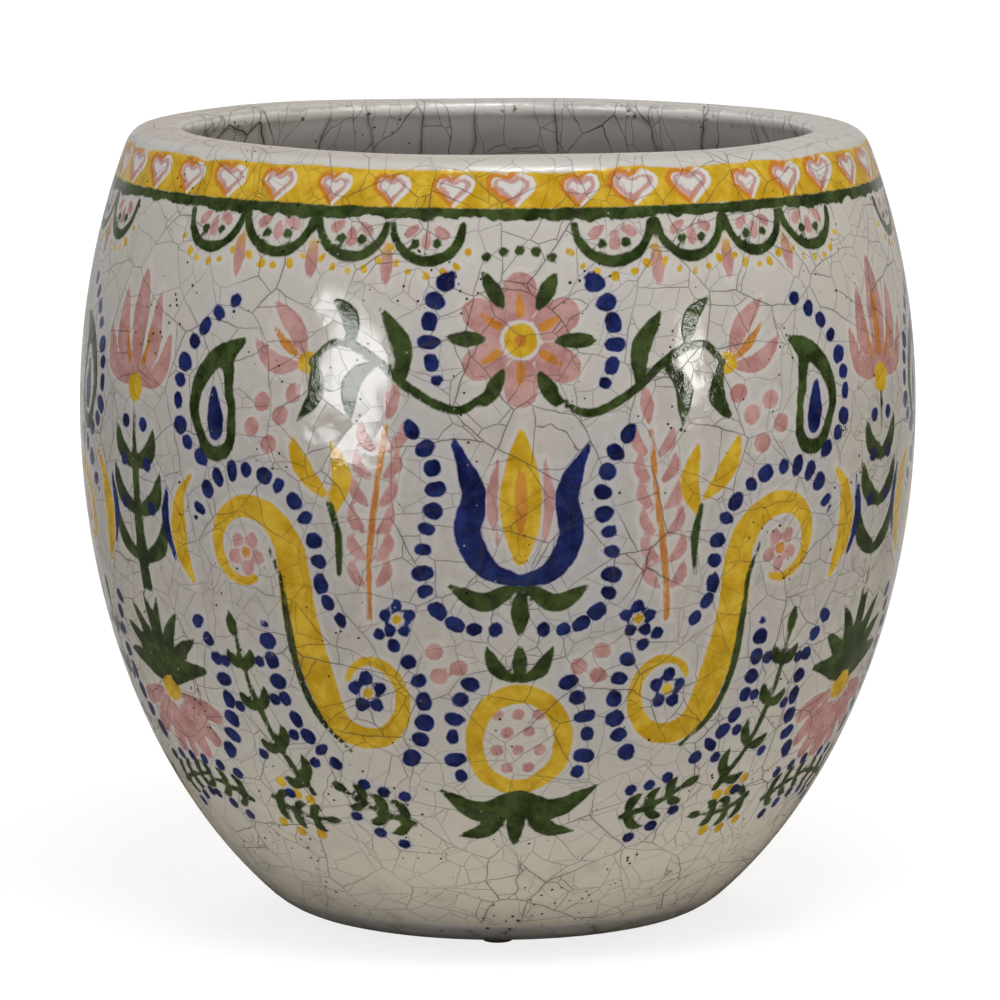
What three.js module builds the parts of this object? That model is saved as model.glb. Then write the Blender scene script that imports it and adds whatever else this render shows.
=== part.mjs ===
// Barrel-shaped glazed earthenware planter with a drain hole, a lift-out rubber
// drain plug and four self-adhesive rubber pads under its foot ring.
// Millimetres, +Z up. The origin is on the ground, under the middle of the pot.
import * as THREE from "three";

// The pot. Its heights are measured from the standing face of the foot ring.
const BODY_HEIGHT = 201;
const BELLY_RADIUS = 107;
const BELLY_HEIGHT = 129.5;
const FOOT_RADIUS = 54;
const FOOT_TUCK = 18; // how far below the foot the lower wall's ellipse would close
const SHOULDER_RADIUS = 190; // of the arc that draws the wall in from belly to lip
const WALL_THICKNESS = 13;
const FLOOR_THICKNESS = 14;
const LIP_OUTER_ROUND = 5;
const LIP_INNER_ROUND = 4;
const FOOT_EDGE_ROUND = 4.5;
const FLOOR_COVE = 9;
const FOOT_RING_WIDTH = 14;
const FOOT_RECESS = 3;
const RECESS_COVE = 2;
const DRAIN_RADIUS = 9;
const DRAIN_EDGE_ROUND = 1.5;

// The drain plug
const PLUG_CLEARANCE = 0.3;
const PLUG_TAPER = 1.2;
const PLUG_TIP_SETBACK = 1; // how far the shank's tip stays up inside the hole
const PLUG_FLANGE_OVERLAP = 7;
const PLUG_FLANGE_THICKNESS = 3;
const PLUG_EDGE_ROUND = 1.2;
const PLUG_NECK_RADIUS = 4;
const PLUG_NECK_HEIGHT = 2.5;
const PLUG_KNOB_OVERHANG = 3.5;
const PLUG_KNOB_HEIGHT = 4;

// The foot pads
const PAD_COUNT = 4;
const PAD_MARGIN = 1; // bare foot ring on either side of a pad
const PAD_THICKNESS = 1;
const PAD_EDGE_ROUND = 0.4;
const ADHESIVE_FILM = 0.3;

// Facets
const BODY_FACETS = 48;
const PLUG_FACETS = 24;
const PAD_FACETS = 16;
const BELLY_STEPS = 11;
const SHOULDER_STEPS = 6;
const ROUND_STEPS = 3;
const KNOB_STEPS = 5;

const point = (r, z) => new THREE.Vector2(r, z);

// An elliptical stretch of a profile, from angle `from` to angle `to` in radians.
function sweep(centre, radii, from, to, steps) {
  const curve = new THREE.EllipseCurve(
    centre.x, centre.y, radii.x, radii.y, from, to, from > to,
  );
  return curve.getPoints(steps);
}

// A rounded corner of a profile, from `start` to `end` about the sharp `corner`.
function soften(start, corner, end) {
  return new THREE.QuadraticBezierCurve(start, corner, end).getPoints(ROUND_STEPS);
}

// Turns a profile about the upright axis. Points that repeat are dropped.
function turned(profile, facets) {
  const distinct = profile.filter((p, i) => i === 0 || p.distanceTo(profile[i - 1]) > 1e-6);
  return new THREE.LatheGeometry(distinct, facets).rotateX(Math.PI / 2);
}

function mesh(name, geometry, material) {
  const made = new THREE.Mesh(geometry, material);
  made.name = name;
  return made;
}

// The lower wall is a quarter ellipse from the foot to the belly, and the
// shoulder is a circular arc that leaves the belly upright. The inner wall
// follows both of them, one wall thickness further in.
const belly = BELLY_HEIGHT / (BELLY_HEIGHT + FOOT_TUCK);
const lowerReach = (BELLY_RADIUS - FOOT_RADIUS) / (1 - Math.sqrt(1 - belly ** 2));
const lowerCentre = point(BELLY_RADIUS - lowerReach, BELLY_HEIGHT);
const shoulderCentre = point(BELLY_RADIUS - SHOULDER_RADIUS, BELLY_HEIGHT);

function wall(inset) {
  const lower = point(lowerReach - inset, BELLY_HEIGHT + FOOT_TUCK - inset);
  const shoulder = point(SHOULDER_RADIUS - inset, SHOULDER_RADIUS - inset);
  const lowerAngle = (z) => Math.asin((z - BELLY_HEIGHT) / lower.y);
  const shoulderAngle = (z) => Math.asin((z - BELLY_HEIGHT) / shoulder.y);
  return {
    lowerRadius: (z) => lowerCentre.x + lower.x * Math.cos(lowerAngle(z)),
    shoulderRadius: (z) => shoulderCentre.x + shoulder.x * Math.cos(shoulderAngle(z)),
    points: (bottom, top) => [
      ...sweep(lowerCentre, lower, lowerAngle(bottom), 0, BELLY_STEPS),
      ...sweep(shoulderCentre, shoulder, 0, shoulderAngle(top), SHOULDER_STEPS),
    ],
  };
}

// The pot's closed section: up the outside, over the lip, down the inside, out
// through the drain hole and across the hollow of the foot.
function planterBody() {
  const outer = wall(0);
  const inner = wall(WALL_THICKNESS);
  const outerLip = point(outer.shoulderRadius(BODY_HEIGHT), BODY_HEIGHT);
  const innerLip = point(inner.shoulderRadius(BODY_HEIGHT), BODY_HEIGHT);
  const floorCorner = point(inner.lowerRadius(FLOOR_THICKNESS), FLOOR_THICKNESS);
  const ringInside = FOOT_RADIUS - FOOT_RING_WIDTH;
  const outside = outer.points(FOOT_EDGE_ROUND, BODY_HEIGHT - LIP_OUTER_ROUND);
  const inside = inner
    .points(FLOOR_THICKNESS + FLOOR_COVE, BODY_HEIGHT - LIP_INNER_ROUND)
    .reverse();
  const footStart = point(FOOT_RADIUS - FOOT_EDGE_ROUND, 0);
  return turned(
    [
      ...soften(footStart, point(FOOT_RADIUS, 0), outside[0]),
      ...outside,
      ...soften(outside.at(-1), outerLip, point(outerLip.x - LIP_OUTER_ROUND, BODY_HEIGHT)),
      ...soften(point(innerLip.x + LIP_INNER_ROUND, BODY_HEIGHT), innerLip, inside[0]),
      ...inside,
      ...soften(inside.at(-1), floorCorner, point(floorCorner.x - FLOOR_COVE, FLOOR_THICKNESS)),
      ...soften(
        point(DRAIN_RADIUS + DRAIN_EDGE_ROUND, FLOOR_THICKNESS),
        point(DRAIN_RADIUS, FLOOR_THICKNESS),
        point(DRAIN_RADIUS, FLOOR_THICKNESS - DRAIN_EDGE_ROUND),
      ),
      ...soften(
        point(DRAIN_RADIUS, FOOT_RECESS + DRAIN_EDGE_ROUND),
        point(DRAIN_RADIUS, FOOT_RECESS),
        point(DRAIN_RADIUS + DRAIN_EDGE_ROUND, FOOT_RECESS),
      ),
      ...soften(
        point(ringInside - RECESS_COVE, FOOT_RECESS),
        point(ringInside, FOOT_RECESS),
        point(ringInside, FOOT_RECESS - RECESS_COVE),
      ),
      point(ringInside, 0),
      footStart,
    ],
    BODY_FACETS,
  );
}

// The plug: a tapered shank that fills the drain hole, a flange that seals on
// the floor around it, and a knob on a short neck to pull it out by. Its own
// zero height is the underside of the flange.
function drainPlug() {
  const shankTop = DRAIN_RADIUS - PLUG_CLEARANCE;
  const shankTip = shankTop - PLUG_TAPER;
  const tipHeight = FOOT_RECESS + PLUG_TIP_SETBACK - FLOOR_THICKNESS - PLUG_CLEARANCE;
  const flange = DRAIN_RADIUS + PLUG_FLANGE_OVERLAP;
  const neckTop = PLUG_FLANGE_THICKNESS + PLUG_NECK_HEIGHT;
  const knob = PLUG_NECK_RADIUS + PLUG_KNOB_OVERHANG;
  const knobMiddle = neckTop + PLUG_KNOB_HEIGHT / 2;
  return turned(
    [
      point(0, tipHeight),
      ...soften(
        point(shankTip - PLUG_EDGE_ROUND, tipHeight),
        point(shankTip, tipHeight),
        point(shankTip, tipHeight + PLUG_EDGE_ROUND),
      ),
      point(shankTop, 0),
      point(flange, 0),
      ...soften(
        point(flange, PLUG_FLANGE_THICKNESS - PLUG_EDGE_ROUND),
        point(flange, PLUG_FLANGE_THICKNESS),
        point(flange - PLUG_EDGE_ROUND, PLUG_FLANGE_THICKNESS),
      ),
      point(PLUG_NECK_RADIUS, PLUG_FLANGE_THICKNESS),
      point(PLUG_NECK_RADIUS, neckTop),
      ...soften(
        point(PLUG_NECK_RADIUS, neckTop),
        point(knob, neckTop),
        point(knob, knobMiddle),
      ),
      ...sweep(
        point(0, knobMiddle),
        point(knob, PLUG_KNOB_HEIGHT / 2),
        0, Math.PI / 2, KNOB_STEPS,
      ),
    ],
    PLUG_FACETS,
  );
}

// A pad: a low rubber button with its bottom edge rounded. Its own zero height
// is the face that stands on the ground.
function footPad(radius) {
  return turned(
    [
      point(0, 0),
      ...soften(
        point(radius - PAD_EDGE_ROUND, 0),
        point(radius, 0),
        point(radius, PAD_EDGE_ROUND),
      ),
      point(radius, PAD_THICKNESS),
      point(0, PAD_THICKNESS),
    ],
    PAD_FACETS,
  );
}

const glaze = new THREE.MeshStandardMaterial({ color: 0xd3cec6, roughness: 0.22, metalness: 0 });
const plugRubber = new THREE.MeshStandardMaterial({ color: 0x2b2a29, roughness: 0.7, metalness: 0 });
const padRubber = new THREE.MeshStandardMaterial({ color: 0x4a4744, roughness: 0.8, metalness: 0 });

const planter = new THREE.Group();

const standingFace = PAD_THICKNESS + ADHESIVE_FILM;
const body = mesh("planter_body", planterBody(), glaze);
body.position.z = standingFace;
planter.add(body);

const plug = mesh("drain_plug", drainPlug(), plugRubber);
plug.position.z = standingFace + FLOOR_THICKNESS + PLUG_CLEARANCE;
planter.add(plug);

// The pads stand in the middle of the foot ring's flat face, the first at the front.
const padCircle = FOOT_RADIUS - (FOOT_RING_WIDTH + FOOT_EDGE_ROUND) / 2;
const padRadius = (FOOT_RING_WIDTH - FOOT_EDGE_ROUND) / 2 - PAD_MARGIN;
for (let i = 0; i < PAD_COUNT; i += 1) {
  const turn = (i / PAD_COUNT) * 2 * Math.PI - Math.PI / 2;
  const pad = mesh(`foot_pad_${i + 1}`, footPad(padRadius), padRubber);
  pad.position.set(padCircle * Math.cos(turn), padCircle * Math.sin(turn), 0);
  planter.add(pad);
}

export default planter;
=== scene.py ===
"""Hand-painted, crackle-glazed earthenware planter with a lift-out drain plug, on rubber pads."""
import itertools
import math

import bmesh
import bpy
import numpy as np
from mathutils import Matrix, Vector


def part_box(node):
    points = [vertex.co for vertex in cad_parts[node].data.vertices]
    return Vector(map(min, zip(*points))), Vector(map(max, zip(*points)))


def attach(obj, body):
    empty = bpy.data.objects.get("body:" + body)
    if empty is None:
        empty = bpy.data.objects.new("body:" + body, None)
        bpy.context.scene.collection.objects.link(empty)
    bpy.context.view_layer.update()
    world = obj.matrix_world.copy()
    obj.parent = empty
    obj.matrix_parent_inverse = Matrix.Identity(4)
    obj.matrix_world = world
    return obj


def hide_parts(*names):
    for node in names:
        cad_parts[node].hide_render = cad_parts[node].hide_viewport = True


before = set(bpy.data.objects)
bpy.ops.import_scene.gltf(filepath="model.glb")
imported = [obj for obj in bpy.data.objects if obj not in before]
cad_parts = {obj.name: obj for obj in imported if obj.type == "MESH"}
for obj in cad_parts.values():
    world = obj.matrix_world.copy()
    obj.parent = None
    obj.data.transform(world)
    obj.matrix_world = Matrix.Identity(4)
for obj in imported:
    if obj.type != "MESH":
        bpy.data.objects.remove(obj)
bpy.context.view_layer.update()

# The pot is one piece of earthenware: a barrel wall on a foot ring, with a rounded lip and a drain
# hole through the floor. Its section is spun about the upright axis in millimetres above the
# ground. Hand finishing left the lip a little out of level and the wall a little out of round.
MM = 0.001
TOUCHING = 1e-4  # the distance in mm below which two points are one
pot_low, pot_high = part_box("planter_body")
FOOT_LEVEL, LIP_LEVEL = pot_low.z / MM, pot_high.z / MM
BELLY_RADIUS, BELLY_HEIGHT = pot_high.x / MM, 129.5
FOOT_RADIUS, FOOT_ROUND = 54.0, 4.5
FOOT_TUCK = 18.0  # how far below the foot the lower wall's ellipse would close
SHOULDER_RADIUS = 190.0  # of the arc that draws the wall in from belly to lip
WALL, RING_WIDTH = 13.0, 14.0
LIP_OUTER_ROUND, LIP_INNER_ROUND = 5.0, 4.5
FLOOR_LEVEL, FLOOR_COVE = FOOT_LEVEL + 14.0, 9.0
DRAIN_RADIUS, DRAIN_ROUND = 9.0, 1.5
RECESS_LEVEL, RECESS_COVE = FOOT_LEVEL + 3.0, 2.0
PAINT_BOTTOM, PAINT_TOP = 30.0, 188.0  # between them the mesh is fine enough to carry the ornament
FOOT_ROWS, PAINT_ROWS, SHOULDER_ROWS, INNER_ROWS, COLUMNS = 9, 127, 5, 12, 528
WALL_SAMPLES, LADDER_SAMPLES = 400, 800

BELLY_LEVEL = FOOT_LEVEL + BELLY_HEIGHT
LOWER_DROP = BELLY_HEIGHT + FOOT_TUCK
LOWER_REACH = (BELLY_RADIUS - FOOT_RADIUS) / (1 - math.sqrt(1 - (BELLY_HEIGHT / LOWER_DROP) ** 2))
RING_INSIDE = FOOT_RADIUS - RING_WIDTH


def wall_radius(level, inset=0.0):
    """The wall's radius at a height, on its outside or one inset further in."""
    rise = np.asarray(level, float) - BELLY_LEVEL
    lower = 1 - np.minimum(rise, 0) ** 2 / (LOWER_DROP - inset) ** 2
    upper = (SHOULDER_RADIUS - inset) ** 2 - np.maximum(rise, 0) ** 2
    below = BELLY_RADIUS - LOWER_REACH + (LOWER_REACH - inset) * np.sqrt(np.maximum(lower, 0))
    above = BELLY_RADIUS - SHOULDER_RADIUS + np.sqrt(upper)
    return np.where(rise < 0, below, above)


def wall_points(bottom, top, rows, inset=0.0):
    """Points up the wall at equal steps along it."""
    heights = np.linspace(bottom, top, WALL_SAMPLES)
    lengths = np.hypot(np.diff(wall_radius(heights, inset)), np.diff(heights))
    passed = np.r_[0, np.cumsum(lengths)]
    heights = np.interp(np.linspace(0, passed[-1], rows + 1), passed, heights)
    return list(zip(wall_radius(heights, inset).tolist(), heights.tolist()))


def rounded(start, sharp, end, steps=5):
    """A rounded corner of a section, from a start to an end about the sharp corner."""
    curve = []
    for t in np.linspace(0, 1, steps + 1):
        weights = ((1 - t) ** 2, 2 * t * (1 - t), t * t)
        curve.append([sum(w * p[i] for w, p in zip(weights, (start, sharp, end))) for i in (0, 1)])
    return curve


def corner(radius, level, start, end, steps=5):
    """A rounded corner that starts at one offset from the sharp corner and ends at another."""
    ends = [(radius + outwards, level + upwards) for outwards, upwards in (start, end)]
    return rounded(ends[0], (radius, level), ends[1], steps)


def spun(name, section, steps, closed=False, axis=(0.0, 0.0)):
    """A piece turned from a section of (radius, height) in millimetres about an upright axis."""
    bm = bmesh.new()
    verts = []
    for radius, level in section:
        point = Vector((radius, 0, level))
        if not verts or (verts[-1].co - point).length > TOUCHING:
            verts.append(bm.verts.new(point))
    ring = verts[1:] + verts[:1] if closed else verts[1:]
    edges = [bm.edges.new(pair) for pair in zip(verts, ring)]
    bmesh.ops.spin(
        bm,
        geom=verts + edges,
        cent=(0, 0, 0),
        axis=(0, 0, 1),
        angle=math.tau,
        steps=steps,
        use_merge=True,
    )
    bmesh.ops.remove_doubles(bm, verts=bm.verts, dist=TOUCHING)
    bmesh.ops.recalc_face_normals(bm, faces=bm.faces)
    bmesh.ops.translate(bm, verts=bm.verts, vec=(*axis, 0))
    bmesh.ops.scale(bm, verts=bm.verts, vec=(MM, MM, MM))
    for face in bm.faces:
        face.smooth = True
    mesh = bpy.data.meshes.new(name)
    bm.to_mesh(mesh)
    bm.free()
    piece = bpy.data.objects.new(name, mesh)
    bpy.context.collection.objects.link(piece)
    return piece


lip_outside = float(wall_radius(LIP_LEVEL))
lip_inside = float(wall_radius(LIP_LEVEL, WALL))
floor_corner = float(wall_radius(FLOOR_LEVEL, WALL))
outside = wall_points(FOOT_LEVEL + FOOT_ROUND, PAINT_BOTTOM, FOOT_ROWS)
outside += wall_points(PAINT_BOTTOM, PAINT_TOP, PAINT_ROWS)
outside += wall_points(PAINT_TOP, LIP_LEVEL - LIP_OUTER_ROUND, SHOULDER_ROWS)
inner_wall = wall_points(FLOOR_LEVEL + FLOOR_COVE, LIP_LEVEL - LIP_INNER_ROUND, INNER_ROWS, WALL)[::-1]
section = [
    *rounded((FOOT_RADIUS - FOOT_ROUND, FOOT_LEVEL), (FOOT_RADIUS, FOOT_LEVEL), outside[0]),
    *outside,
    *rounded(outside[-1], (lip_outside, LIP_LEVEL), (lip_outside - LIP_OUTER_ROUND, LIP_LEVEL), 6),
    *rounded((lip_inside + LIP_INNER_ROUND, LIP_LEVEL), (lip_inside, LIP_LEVEL), inner_wall[0], 6),
    *inner_wall,
    *rounded(inner_wall[-1], (floor_corner, FLOOR_LEVEL), (floor_corner - FLOOR_COVE, FLOOR_LEVEL), 4),
    *corner(DRAIN_RADIUS, FLOOR_LEVEL, (DRAIN_ROUND, 0), (0, -DRAIN_ROUND), 3),
    *corner(DRAIN_RADIUS, RECESS_LEVEL, (0, DRAIN_ROUND), (DRAIN_ROUND, 0), 3),
    *corner(RING_INSIDE, RECESS_LEVEL, (-RECESS_COVE, 0), (0, -RECESS_COVE), 3),
    (RING_INSIDE, FOOT_LEVEL),
]
pot = spun("pot", section, COLUMNS, closed=True)

# Low waves around the wall and the lip, which grow towards the lip
place = np.empty(len(pot.data.vertices) * 3)
pot.data.vertices.foreach_get("co", place)
place = place.reshape(-1, 3) / MM
turn = np.arctan2(place[:, 0], -place[:, 1])  # from the front, towards +X
level = place[:, 2].copy()
radius = np.hypot(place[:, 0], place[:, 1])
WAVE_START, BASE_TOP = 60.0, 8.0
on_wall = (radius > wall_radius(level, WALL / 2)) & (level > BASE_TOP)
high = np.clip((level - WAVE_START) / (LIP_LEVEL - WAVE_START), 0, 1)
out_of_round = high * (0.45 * np.sin(2 * turn + 0.6) + 0.25 * np.sin(3 * turn + 2.0))
place[:, :2] *= (1 + out_of_round / BELLY_RADIUS)[:, None]
out_of_level = 0.0028 * (place[:, 1] - place[:, 0]) - 0.36 - 0.16 * np.cos(2 * turn)
place[:, 2] += high**3 * (out_of_level + 0.12 * np.sin(5 * turn + 1.0) + 0.1 * np.sin(7 * turn))
pot.data.vertices.foreach_set("co", (place * MM).ravel())

# The map for baked finishes: the outside wall in two halves, front and back, the rest beside them
WALL_SHARE, HALF_SHARE, REST_START = 0.75, 0.495, 0.76
profile = np.array(section, float)
section_run = np.r_[0, np.cumsum(np.hypot(*np.diff(profile, axis=0).T))]
whole_run = section_run[-1] + math.dist(profile[-1], profile[0])
wall_run = section_run[profile[:, 1].argmax()]
row = np.zeros(len(level), int)
closest = np.full(len(level), np.inf)
for number, (section_radius, section_level) in enumerate(profile):
    gap = np.hypot(radius - section_radius, level - section_level)
    row = np.where(gap < closest, number, row)
    closest = np.minimum(closest, gap)
points_of_face = np.empty(len(pot.data.loops), np.int32)
pot.data.loops.foreach_get("vertex_index", points_of_face)
points_of_face = points_of_face.reshape(-1, 4)


def unbroken(values, whole):
    """Values at the corners of each face, carried on by a whole round where the face spans the seam."""
    return values + whole * (values < values.max(1, keepdims=True) - whole / 2)


face_run = unbroken(section_run[row][points_of_face], whole_run)
face_turn = unbroken(turn[points_of_face], math.tau)
face_middle = face_turn.mean(1, keepdims=True)
at_back = np.abs(face_middle) > math.pi / 2
from_side = face_turn + math.pi / 2 + at_back * (math.tau * (face_middle < 0) - math.pi)
on_outside = face_run.max(1, keepdims=True) < wall_run + TOUCHING
across = np.where(
    on_outside,
    WALL_SHARE * from_side / math.pi,
    REST_START + (1 - REST_START) * (face_run - wall_run) / (whole_run - wall_run),
)
upwards = np.where(
    on_outside,
    at_back * 0.5 + HALF_SHARE * face_run / wall_run,
    (face_turn + math.pi) / (math.tau * (1 + 1 / COLUMNS)),
)
pot.data.uv_layers.new(name="OFBake").uv.foreach_set("vector", np.stack([across, upwards], 2).ravel())

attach(pot, "planter")
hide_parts("planter_body")

# The ornament is brushed on the raw glaze before the firing, in three like panels around the wall,
# each mirrored about its own axis. A stroke is a line with a width, in millimetres around the belly
# from the panel's axis and above the ground. Every colour keeps its distance to its nearest stroke.
PANELS, AXIS_TURN = 3, math.radians(3)
HALF_PANEL = math.pi / PANELS * BELLY_RADIUS
FAR = 9.0  # the distance kept where a colour has no stroke near
BEAD_PITCH = {"blue": 5.2, "yellow": 4.3}
ROW_START = 400.0  # set between two rows of dots, so that no two share their random draws

ladder = np.linspace(FOOT_LEVEL, LIP_LEVEL, LADDER_SAMPLES)
climb = np.r_[0, np.cumsum(np.hypot(np.diff(wall_radius(ladder)), np.diff(ladder)))]
wander = 0.8 * np.sin(4 * turn + 0.045 * level + 1.0) + 0.5 * np.sin(11 * turn - 0.07 * level)
sway = 0.7 * np.sin(5 * turn + 0.03 * level + 2.0)
around = np.abs((turn - AXIS_TURN + math.pi / PANELS) % (math.tau / PANELS) - math.pi / PANELS)
around = (around * BELLY_RADIUS + wander * np.minimum(around * 4, 1))[on_wall]
height = (np.interp(level, ladder, climb) + sway)[on_wall]
narrowing = radius[on_wall] / BELLY_RADIUS
paint = {colour: np.full(len(around), FAR) for colour in ("pink", "yellow", "orange", "green", "blue")}
bead_run = {colour: np.zeros(len(around)) for colour in BEAD_PITCH}
bead_gap = {colour: np.full(len(around), FAR) for colour in BEAD_PITCH}
bead_rows = itertools.count()


def flowing(path, step=0.8):
    """A smooth line through the points of a path, as closely spaced points."""
    points = np.array(path, float)
    ends = np.vstack([2 * points[0] - points[1], points, 2 * points[-1] - points[-2]])
    line = []
    for p0, p1, p2, p3 in zip(ends, ends[1:], ends[2:], ends[3:]):
        t = np.linspace(0, 1, max(3, int(np.hypot(*(p2 - p1)) / step)), endpoint=False)[:, None]
        bend = 2 * p0 - 5 * p1 + 4 * p2 - p3 + t * (3 * (p1 - p2) + p3 - p0)
        line.append(p1 + 0.5 * t * (p2 - p0 + t * bend))
    return np.vstack([*line, points[-1:]])


def along(line):
    """How far along a line each of its points is."""
    return np.r_[0, np.cumsum(np.hypot(*np.diff(line, axis=0).T))]


def nearest(line, reach):
    """The wall's points within reach of a line, and for each step of it their distance and place."""
    line = np.c_[line[:, 0], np.interp(line[:, 1], ladder, climb)]
    low, high = line.min(0) - reach, line.max(0) + reach
    spot = np.flatnonzero(
        (around > low[0]) & (around < high[0]) & (height > low[1]) & (height < high[1])
    )
    x, z, squeeze = around[spot], height[spot], narrowing[spot]
    steps = []
    for (x0, z0), (x1, z1) in zip(line, line[1:]):
        dx, dz = (x1 - x0) * squeeze, z1 - z0
        px, pz = (x - x0) * squeeze, z - z0
        share = np.clip((px * dx + pz * dz) / (dx * dx + dz * dz + 1e-9), 0, 1)
        steps.append((np.hypot(px - share * dx, pz - share * dz), share))
    return spot, steps


def pull(colour, path, widths, wipe=False):
    """One pull of the brush. The widths are spread evenly along it. A wipe takes the colour off."""
    line = flowing(path)
    run = along(line)
    half = np.interp(run / run[-1], np.linspace(0, 1, len(widths)), widths) / 2
    spot, steps = nearest(line, half.max() + FAR)
    edge = np.full(len(spot), np.inf)
    for (away, share), start, end in zip(steps, half, half[1:]):
        edge = np.minimum(edge, away - start - (end - start) * share)
    field = paint[colour]
    field[spot] = np.maximum(field[spot], -edge) if wipe else np.minimum(field[spot], edge)


def dab(colour, centre, radius, wipe=False):
    """A round touch of the brush."""
    pull(colour, [centre, (centre[0] + 0.01, centre[1])], [2 * radius, 2 * radius], wipe)


def leaf(colour, *path, width):
    """A leaf-shaped pull, thin at both ends."""
    pull(colour, path, [0.35 * width, 0.85 * width, width, 0.66 * width, 0.4])


def petal(colour, *path, width):
    """A petal-shaped pull, thin where it starts and round where it ends."""
    pull(colour, path, [0.3 * width, 0.7 * width, width, 0.9 * width])


def beads(*path, colour="blue"):
    """A row of round dots along a smooth line."""
    line = flowing(path)
    run = along(line) + ROW_START * next(bead_rows)
    spot, steps = nearest(line, FAR)
    for (away, share), start, end in zip(steps, run, run[1:]):
        closer = away < bead_gap[colour][spot]
        bead_gap[colour][spot] = np.where(closer, away, bead_gap[colour][spot])
        bead_run[colour][spot] = np.where(closer, start + (end - start) * share, bead_run[colour][spot])


def polar(centre, reach, degrees):
    """The point at a distance and a direction from a centre."""
    way = math.radians(degrees)
    return (centre[0] + reach * math.cos(way), centre[1] + reach * math.sin(way))


def curl(centre, start, end, steps=12):
    """Points along an arc or a spiral, from one (radius, direction) to another."""
    return [polar(centre, *pair) for pair in np.linspace(start, end, steps)]


def floret(colour, eye, centre, size, first=90):
    """A small flower of five round petals about a dot, the first one in a given direction."""
    for way in range(first, first + 360, 72):
        petal(colour, polar(centre, 0.4 * size, way), polar(centre, 0.8 * size, way), width=0.72 * size)
    dab(colour, centre, 0.4 * size, wipe=True)
    dab(eye, centre, 0.3 * size)


def leafy(stem, pairs, size, berry=None):
    """A stem with pairs of leaves that shorten towards its tip, and berries between them."""
    line = flowing(stem)
    pull("green", stem, [1.9, 1.7, 1.3])
    for k in range(pairs):
        spot = int((k + 0.35) / pairs * (len(line) - 1))
        root = line[spot]
        heading = line[min(spot + 2, len(line) - 1)] - line[max(spot - 2, 0)]
        way = math.degrees(math.atan2(heading[1], heading[0]))
        long = size * (1 - 0.35 * k / pairs)
        for spread in (58, -58):
            middle, tip = polar(root, 0.55 * long, way + spread), polar(root, long, way + 0.72 * spread)
            leaf("green", root, middle, tip, width=0.4 * size)
            if berry:
                dab(berry, polar(root, 0.95 * long, way + 1.35 * spread), 1.7)
    leaf("green", line[-1], polar(line[-1], 0.8 * size, way), width=0.4 * size)


# Scallops hang under the rim, with petals in them, yellow dots around and a drop between each two.
for x in (24, 45, 66, 87):
    eye = (x, 188)
    pull("green", curl(eye, (9.8, 186), (9.8, 354)), [2.0, 2.4, 2.9, 2.4, 2.0])
    for way in (214, 270, 326):
        petal("pink", polar(eye, 2.6, way), polar(eye, 6.0, way), width=2.9)
    for way in (242, 298):
        dab("green", polar(eye, 6.2, way), 1.3)
    beads(*curl(eye, (13.2, 204), (13.2, 336)), colour="yellow")
for x in (34.5, 55.5, 76.5):
    leaf("pink", (x, 181.5), (x, 171.5), width=3.6)

# A rosette at the top of the panel's axis
rosette = (0, 160)
for way in (90, 30, -30, -90):
    petal("pink", polar(rosette, 4, way), polar(rosette, 12.4, way), width=9.0)
    pull("orange", [polar(rosette, 6.4, way), polar(rosette, 11.6, way)], [2.4, 2.2, 0.9])
for way in (60, 0, -60):
    leaf("green", polar(rosette, 9, way), polar(rosette, 19, way), width=4.2)
dab("pink", rosette, 5.0, wipe=True)
dab("yellow", rosette, 4.1)
dab("orange", rosette, 1.6)
beads(*curl(rosette, (23, -26), (23, 40)))
for way in (67, 79, 90):
    dab("green", polar(rosette, 21.4, way), 1.3)

# A tulip below it, in its bracts, with a row of beads around
tulip = [(0.8, 101), (7.5, 103.5), (12.4, 112), (11.4, 123), (17, 136)]
pull("blue", tulip, [3.4, 6.0, 6.8, 5.2, 0.8])
pull("yellow", [(0, 106), (0, 139)], [3, 9.0, 10.5, 7, 0.6])
pull("pink", [(5.4, 110), (6.8, 120), (5.6, 131)], [0.8, 2.6, 2.8, 0.6])
pull("orange", [(0, 111), (0, 130)], [1.0, 3.0, 3.0, 0.8])
leaf("green", (1, 99.5), (9, 95.5), (17.5, 100), width=5.0)
leaf("green", (0, 98), (0, 86.5), width=4.6)
beads((6, 88.6), (14.5, 89.5), (22, 97), (23, 110), (20.4, 121), (22.6, 131), (27.5, 138.5))

# A pomegranate with seeds and leaves, at the foot of the axis
pull("yellow", [(0, 55), (0, 61), (0, 66)], [20, 25, 26, 24, 17])
pull("yellow", [(0, 55.5), (0, 61), (0, 65)], [12.5, 16.5, 17, 15, 10], wipe=True)
for x, z in ((2.9, 53), (0, 57.6), (5.8, 57.6), (2.9, 62.2), (0, 66.8), (5.6, 66.8)):
    dab("pink", (x, z), 1.6)
leaf("green", (0, 76), (0, 85), width=4.0)
leaf("green", (1, 75.5), (5.5, 78.5), (8.5, 84.5), width=3.8)
leaf("green", (1, 46), (11, 41.5), (23.5, 47.5), width=6.0)
leaf("green", (2, 44), (9, 36.5), (18.5, 35), width=5.0)
leaf("green", (0, 44), (0, 31.5), width=4.8)
beads((16.4, 51), (18.2, 59), (16.4, 68), (12.6, 74.5))

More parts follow.
